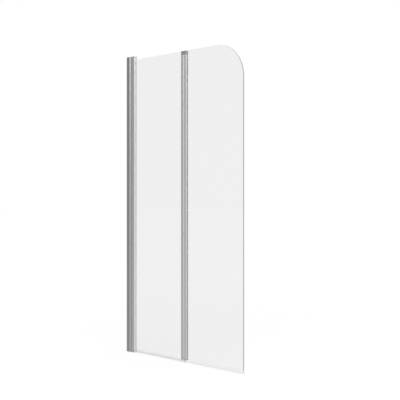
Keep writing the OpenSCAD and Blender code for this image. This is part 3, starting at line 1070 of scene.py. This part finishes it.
@dataclass
class WallProfile(SubAssembly):
    """The channel on the wall, the post in it, and the end plates that hold the pivot pins.

    Attributes:
        leg: thickness of the post's legs and face.
        nose: radius of the nose's long edges.
        step: distance from the nose's sides in to the legs.
        rim_gap: room between the nose and the channel's rims.
        groove_half: half width of the groove for the pivot seal.
        groove_deep: its depth.
        edge: radius of the small edges.
        channel_edge: width of the channel's eased edges.
        cap_edge: width of the screw covers' eased edges.
    """

    body: ClassVar[str] = "wall_profile"
    leg: float = 2 * MM
    nose: float = 6 * MM
    step: float = 2.1 * MM
    rim_gap: float = 0.3 * MM
    groove_half: float = 2 * MM
    groove_deep: float = 1.6 * MM
    edge: float = 0.3 * MM
    channel_edge: float = 0.25 * MM
    cap_edge: float = 0.15 * MM

    def build(self) -> None:
        """Builds and dresses the sub-assembly."""
        self.add(self.post(), POST_METAL, "pivot_post")
        self.ease(CHANNEL_METAL, self.channel_edge, "wall_channel")
        # The pivot seal takes the dark grey rubber, painted shade.
        self.keep(SHADED_GREY_RUBBER, "pivot_seal")
        self.ease(PLATE_LACQUER, self.cast_edge, "top_pivot_plate", "bottom_pivot_plate")
        self.ease(CAP_PLASTIC, self.cap_edge, "screw_covers")
        self.keep(STEEL, "plate_screws", "adjusting_screws", "pivot_pins")

    def post(self) -> bpy.types.Object:
        """Makes the post: two legs in the channel, and a nose with round edges and a seal groove.

        Returns:
            The post.
        """
        low, high = box_size("pivot_post")
        channel_high = box_size("wall_channel")[1]
        toe, face, half = low[0], high[0], high[1]
        back = channel_high[0] + self.rim_gap
        outside = half - self.step
        inside = outside - self.leg
        floor = face - self.groove_deep
        front = [
            (face, -half, self.nose),
            (face, -self.groove_half, self.edge),
            (floor, -self.groove_half, 0.0),
            (floor, self.groove_half, 0.0),
            (face, self.groove_half, self.edge),
            (face, half, self.nose)]
        leg = [
            (back, half, self.edge),
            (back, outside, 0.0),
            (toe, outside, self.edge),
            (toe, inside, self.edge),
            (floor - self.leg, inside, self.edge)]
        outline = rounded(front + leg + mirrored(leg))
        return Prism("wall_post", [outline], low[2], high[2]).build()


@dataclass
class InnerLeaf(SubAssembly):
    """The pivot profile, the inner pane and the fold profile with the hinge tube.

    Attributes:
        edge: radius of the profiles' outer edges.
        lip: radius of the edges beside the pane and in the chambers.
        pale_tip: how far the pivot gasket's tips stand out.
        bush_room: radius of the pivot profile's bore for the bushes.
        chamber_wall: thickness of the walls round its chambers.
        chamber_start: distance from the bore's axis to the chambers.
        back_share: radius of its round back, as a share of its half width.
        root: distance from the pane's slot to where the arm's ramps start.
        arm_half: half the arm's thickness.
        arm_back: distance from the fold profile's side to where the ramps end.
        ramp_top: length of the ramp on the tube's side.
        ramp_under: length of the ramp below the arm.
        arm_foot: radius where the arm leaves the fold profile's side.
        arm_bend: radius where the ramp below the arm ends.
        ramp_bend: radius where the ramp on the tube's side ends.
        ramp_foot: radius where it starts.
        tube: outer radius of the hinge tube.
        tube_bore: radius of its bore.
        strip_foot: thickness of the groove strip's foot.
        strip_fin: thickness of its fin.
        strip_radii: its corners' radii, anticlockwise from the foot's front corner.
        back_steps: points on each corner of the pivot profile.
        chamber_steps: points on each corner of its chambers.
        bush_steps: points round its bore, and on the hinge tube.
        bore_steps: points round the tube's bore.
    """

    body: ClassVar[str] = "inner_leaf"
    edge: float = 1.2 * MM
    lip: float = 0.4 * MM
    pale_tip: float = 3.4 * MM
    bush_room: float = 5.1 * MM
    chamber_wall: float = 1.7 * MM
    chamber_start: float = 6 * MM
    back_share: float = 0.999
    root: float = 0.5 * MM
    arm_half: float = 1.8 * MM
    arm_back: float = 2 * MM
    ramp_top: float = 5.8 * MM
    ramp_under: float = 3 * MM
    arm_foot: float = 0.3 * MM
    arm_bend: float = 0.8 * MM
    ramp_bend: float = 1.5 * MM
    ramp_foot: float = 1 * MM
    tube: float = 4.5 * MM
    tube_bore: float = 3.25 * MM
    strip_foot: float = 1 * MM
    strip_fin: float = 1.2 * MM
    strip_radii: tuple[float, ...] = (0.3 * MM, 0.55 * MM, 0.55 * MM, 0.5 * MM, 0.4 * MM, 0.1 * MM)
    back_steps: int = 16
    chamber_steps: int = 4
    bush_steps: int = 41
    bore_steps: int = 33

    def build(self) -> None:
        """Builds and dresses the sub-assembly."""
        self.add(self.pivot_bar(), LEAF_METAL, "pivot_profile")
        self.add(self.fold_bar(), LEAF_METAL, "inner_fold_profile")
        self.mount(Pane("inner_pane", "inner_glass").build())
        self.ease(COVER_LACQUER, self.cast_edge, "pivot_top_cover", "pivot_bottom_cover")
        self.ease(BLOCK_LACQUER, self.cast_edge, "inner_top_block")
        self.ease(FOOT_LACQUER, self.cast_edge, "inner_bottom_block")
        pale = Gasket("pivot_gasket", "pivot_gasket_lips", "inner_pane", tip=self.pale_tip)
        self.add(pale.build(), PALE_RUBBER, pale.node)
        # The inner fold gasket takes the dark grey rubber, painted shade.
        dark = Gasket("inner_fold_gasket", "inner_fold_gasket_lips", "inner_pane")
        self.add(dark.build(), SHADED_GREY_RUBBER, dark.node)
        self.add(self.groove_strip(), GROOVE_STRIP, "fold_seal")
        seal = BottomSeal(Leaf.INNER)
        start = box_size(seal.node)[0][0] + pale.tip
        end = box_size("inner_bottom_block")[0][0] - seal.gap
        self.seal(seal, INNER_STRIP, start, end)
        self.keep(BUSH_PLASTIC, "pivot_bushes", "fold_bushes")
        self.keep(STEEL, "inner_block_screws")

    def pivot_bar(self) -> bpy.types.Object:
        """Makes the pivot profile: a round back, a bore for the bushes, two chambers and a slot.

        Returns:
            The profile.
        """
        low, high = box_size("pivot_profile")
        gasket_low, gasket_high = box_size("pivot_gasket")
        radius = high[1]
        axis = low[0] + radius
        slot = gasket_high[1]
        side = [
            (low[0], -radius, radius * self.back_share),
            (high[0], -radius, self.edge),
            (high[0], -slot, self.lip),
            (gasket_low[0], -slot, 0.0)]
        outline = rounded(side + mirrored(side), self.back_steps)
        inner, outer = slot + self.chamber_wall, radius - self.chamber_wall
        near, far = axis + self.chamber_start, high[0] - self.chamber_wall
        corners = ((near, inner), (near, outer), (far, outer), (far, inner))
        chamber = [(x, y, self.lip) for x, y in corners]
        holes = [
            hole((axis, 0.0), self.bush_room, self.bush_steps),
            rounded(mirrored(chamber), self.chamber_steps),
            rounded(chamber, self.chamber_steps)]
        return Prism("pivot_bar", [outline, *holes], low[2], high[2]).build()

    def fold_bar(self) -> bpy.types.Object:
        """Makes the inner fold profile: a box with the pane's slot, and a ramped arm with the tube.

        Returns:
            The profile.
        """
        low, high = box_size("inner_fold_profile")
        right = box_size("inner_bottom_block")[1][0]
        half = -low[1]
        pane_end, slot, _ = box_size("inner_fold_gasket")[1]
        axis = (high[0] - self.tube, high[1] - self.tube)
        under, over = axis[1] - self.arm_half, axis[1] + self.arm_half
        root = slot + self.root
        under_slope = (under - root) / self.ramp_under
        over_slope = (over - root) / self.ramp_top
        leave_side = root + under_slope * (self.ramp_under - self.arm_back)
        leave_top = right - self.arm_back - (over - half) / over_slope
        reach = math.asin(self.arm_half / self.tube)
        tube = arc(axis, self.tube, -math.pi + reach, math.pi - reach, self.bush_steps)
        bends = rounded([
            (right, -half, self.edge),
            (right, leave_side, self.arm_foot),
            (right + self.arm_back, under, self.arm_bend),
            (*tube[0], 0.0),
            (*tube[-1], 0.0),
            (right - self.arm_back, over, self.ramp_bend),
            (leave_top, half, self.ramp_foot),
            (low[0], half, self.edge),
            (low[0], slot, self.lip),
            (pane_end, slot, 0.0),
            (pane_end, -slot, 0.0),
            (low[0], -slot, self.lip),
            (low[0], -half, self.edge)])
        bore = hole(axis, self.tube_bore, self.bore_steps)
        return Prism("inner_fold_bar", [spliced(bends, tube), bore], low[2], high[2]).build()

    def groove_strip(self) -> bpy.types.Object:
        """Makes the soft strip in the groove: a foot on the inner profile, a fin to the outer one.

        Returns:
            The strip.
        """
        low, high = box_size("fold_seal")
        foot, fin = low[0] + self.strip_foot, low[1] + self.strip_fin
        corners = (
            (low[0], low[1]), (high[0], low[1]), (high[0], fin), (foot, fin), (foot, high[1]),
            (low[0], high[1]))
        outline = rounded([(x, y, radius) for (x, y), radius in zip(corners, self.strip_radii)])
        return Prism("groove_strip", [outline], low[2], high[2]).build()


@dataclass
class OuterLeaf(SubAssembly):
    """The outer pane, its fold profile with the concave seat, and the end blocks with ears.

    Attributes:
        edge: radius of the fold profile's outer edges.
        lip: radius of its edges beside the pane.
        tip: how far its gasket's tips stand out.
        seat: radius of the hollow in which the tube turns.
        seat_steps: points on the hollow.
        corner: radius of the pane's top corner.
    """

    body: ClassVar[str] = "outer_leaf"
    edge: float = 1.2 * MM
    lip: float = 0.4 * MM
    tip: float = 3.6 * MM
    seat: float = 4.9 * MM
    seat_steps: int = 25
    corner: float = 150 * MM

    def build(self) -> None:
        """Builds and dresses the sub-assembly."""
        # The outer fold profile takes the aluminium that is painted lighter, as painted light.
        self.add(self.fold_bar(), PAINTED_LIGHT_OUTER_METAL, "outer_fold_profile")
        self.mount(Pane("outer_pane", "outer_glass", corner=self.corner).build())
        self.ease(BLOCK_LACQUER, self.cast_edge, "outer_top_block")
        self.ease(FOOT_LACQUER, self.cast_edge, "outer_bottom_block")
        # The outer fold gasket takes the mid-grey rubber, painted shade.
        gasket = Gasket("outer_fold_gasket", "outer_fold_gasket_lips", "outer_pane", tip=self.tip)
        self.add(gasket.build(), SHADED_MID_RUBBER, gasket.node)
        seal = BottomSeal(Leaf.OUTER)
        start = box_size("outer_bottom_block")[1][0] + seal.gap + gasket.tip
        end = box_size(seal.node)[1][0]
        self.seal(seal, OUTER_STRIP, start, end)
        self.keep(STEEL, "outer_block_screws", "fold_pins")

    def fold_bar(self) -> bpy.types.Object:
        """Makes the outer fold profile: a box with the pane's slot and a hollow for the tube.

        Returns:
            The profile.
        """
        low, high = box_size("outer_fold_profile")
        half = high[1]
        gasket_low, gasket_high = box_size("outer_fold_gasket")
        slot, pane_start = gasket_high[1], gasket_low[0]
        pin_low, pin_high = box_size("fold_pins")
        axis = (pin_low[:2] + pin_high[:2]) / 2
        on_top = -math.asin((axis[1] - half) / self.seat)
        on_side = -math.acos((low[0] - axis[0]) / self.seat)
        hollow = arc(axis, self.seat, on_top, on_side, self.seat_steps)
        bends = rounded([
            (high[0], -half, self.edge),
            (high[0], -slot, self.lip),
            (pane_start, -slot, 0.0),
            (pane_start, slot, 0.0),
            (high[0], slot, self.lip),
            (high[0], half, self.edge),
            (*hollow[0], 0.0),
            (*hollow[-1], 0.0),
            (low[0], -half, self.edge)])
        return Prism("outer_fold_bar", [spliced(bends, hollow)], low[2], high[2]).build()


# ---------------------------------------------------------------------------------------------
# Studio


@dataclass(frozen=True)
class Lamp:
    """A square soft lamp.

    Attributes:
        name: its name.
        place: where it hangs.
        side: length of its sides.
        power: its power, in watts.
        aim: the point near the middle of the screen that it faces.
    """

    name: str
    place: Place
    side: float
    power: float
    aim: Place = (0.4, 0.0, 0.7)

    def build(self) -> None:
        """Hangs the lamp."""
        data = bpy.data.lights.new(self.name, "AREA")
        data.size = self.side
        data.energy = self.power
        lamp = placed(self.name, data)
        lamp.location = self.place
        towards = Vector(self.aim) - Vector(self.place)
        lamp.rotation_euler = towards.to_track_quat("-Z", "Y").to_euler()


@dataclass(frozen=True)
class Falloff:
    """Light that eases from one level to another as a direction turns towards an aim.

    Attributes:
        aim: the aim, as a unit vector.
        span: the cosines of the angle to the aim at which it starts and ends.
        levels: the levels there.
    """

    aim: Place
    span: Pair
    levels: Pair

    def draw(self, graph: Graph, direction: bpy.types.NodeSocket) -> bpy.types.NodeSocket:
        """The light's level in a direction, as part of a graph."""
        cosine = graph.add("VectorMath", {0: direction, 1: self.aim}, operation="DOT_PRODUCT")
        return graph.ease(cosine.outputs["Value"], self.span, self.levels)


@dataclass
class Studio:
    """A pale floor, soft light that falls off to the left, and the camera.

    Attributes:
        eye: where the camera stands.
        turn: its angle from the Y axis, in degrees. It looks level.
        picture_px: width of the picture that the next two are measured in.
        focal_px: its focal length, in pixels of that picture.
        rise_px: how far the picture's frame is moved up, in the same pixels.
        sight: how far the camera sees.
        lamps: the lamps.
        side_light: the studio's light, which metal and glass see, from the left to the right.
        wall_light: share of that light that comes from the wall's side, as its second level.
        tilt: how much light from the front right rises with height, and from the front left falls.
        floor_half: half the floor's width.
        floor_drop: how far it lies below the rim's level.
        floor_plain: brightness of the floor to what stands on it.
        floor_shadow: brightness that takes the shadow, to the eye.
        far: distance from the origin at which the lamps are weaker on the floor.
        glows: how brightly the floor glows, to the eye, below the screen and from that distance on.
    """

    eye: Place = (3.1639, -2.5844, 0.7402)
    turn: float = 45.981
    picture_px: float = 400.0
    focal_px: float = 852.4
    rise_px: float = -4.08
    sight: float = 100.0
    lamps: tuple[Lamp, ...] = (
        Lamp("key", (2.2, -2.6, 2.8), side=1.6, power=26.0),
        Lamp("fill", (-0.6, -1.6, 3.0), side=2.0, power=10.4))
    side_light: Falloff = Falloff((0.93, 0.37, 0.0), (-1.0, 1.0), (0.40, 1.0))
    wall_light: Falloff = Falloff((-0.94, 0.34, 0.0), (0.72, 1.0), (1.0, 0.40))
    tilt: float = 1.5
    floor_half: float = 30.0
    floor_drop: float = 0.2 * MM
    floor_plain: float = 0.8
    floor_shadow: float = 0.2
    far: float = 4.0
    glows: Pair = (0.835, 0.867)

    def build(self) -> None:
        """Builds the studio."""
        scene = bpy.context.scene
        scene.view_settings.view_transform = "Standard"
        self.camera(scene)
        self.floor()
        self.world(scene)
        for lamp in self.lamps:
            lamp.build()

    def camera(self, scene: bpy.types.Scene) -> None:
        """Places the camera.

        Args:
            scene: the scene that it films.
        """
        data = bpy.data.cameras.new("camera")
        data.lens = self.focal_px / self.picture_px * data.sensor_width
        data.shift_y = self.rise_px / self.picture_px
        data.clip_end = self.sight
        scene.camera = placed("camera", data)
        scene.camera.location = self.eye
        scene.camera.rotation_euler = (math.radians(90), 0.0, math.radians(self.turn))

    def floor(self) -> None:
        """Lays a floor that glows to the eye, so that it is white and still takes a shadow."""
        half, signs = self.floor_half, ((-1, -1), (1, -1), (1, 1), (-1, 1))
        corners = np.array([(x * half, y * half, -self.floor_drop) for x, y in signs])
        floor = surface("floor", corners, [(0, 1, 2, 3)])
        material = bpy.data.materials.new("floor_white")
        material.use_nodes = True
        graph = Graph(material.node_tree)
        plain = graph.add("BsdfDiffuse", {"Color": grey(self.floor_plain)})
        shadow = graph.add("BsdfDiffuse", {"Color": grey(self.floor_shadow)})
        place = graph.add("TexCoord").outputs["Object"]
        away = graph.add("VectorMath", {0: place}, operation="LENGTH").outputs["Value"]
        level = graph.ease(away, (0.0, self.far), self.glows)
        glow = graph.add("Emission", {"Color": WHITE, "Strength": level})
        seen = graph.add("AddShader", {0: shadow.outputs[0], 1: glow.outputs[0]})
        graph.show(graph.either(seen_directly(graph), plain, seen))
        floor.data.materials.append(material)
        floor.visible_glossy = False

    def world(self, scene: bpy.types.Scene) -> None:
        """Makes the room white to the eye and through glass, and for the rest lit by its falloffs.

        The tilt is 1 - tilt * x * y * z of the direction.

        Args:
            scene: the scene.
        """
        world = bpy.data.worlds.new("studio")
        world.use_nodes = True
        scene.world = world
        graph = Graph(world.node_tree)
        direction = graph.add("TexCoord").outputs["Generated"]
        x, y, z = graph.add("SeparateXYZ", {0: direction}).outputs
        level = self.side_light.draw(graph, direction)
        wall = self.wall_light.draw(graph, direction)
        diagonal = graph.math("MULTIPLY", graph.math("MULTIPLY", x, y), z)
        tilt = graph.math("SUBTRACT", 1.0, graph.math("MULTIPLY", diagonal, self.tilt))
        strength = graph.math("MULTIPLY", graph.math("MULTIPLY", level, wall), tilt)
        room = graph.add("Background", {"Color": WHITE, "Strength": strength})
        white = graph.add("Background", {"Color": WHITE, "Strength": 1.0})
        graph.show(graph.either(seen_directly(graph), room, white), "OutputWorld")


def seen_directly(graph: Graph) -> bpy.types.NodeSocket:
    """1 for rays that come from the camera or through glass, otherwise 0."""
    path = graph.add("LightPath").outputs
    return graph.math("MAXIMUM", path["Is Camera Ray"], path["Is Transmission Ray"])


def main() -> None:
    """Builds the sub-assemblies in order, then the studio."""
    logging.basicConfig(level=logging.INFO, format="%(message)s", stream=sys.stdout, force=True)
    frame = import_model()
    for part in (WallProfile(frame), InnerLeaf(frame), OuterLeaf(frame)):
        part.build()
    Studio().build()


if __name__ == "__main__":
    main()
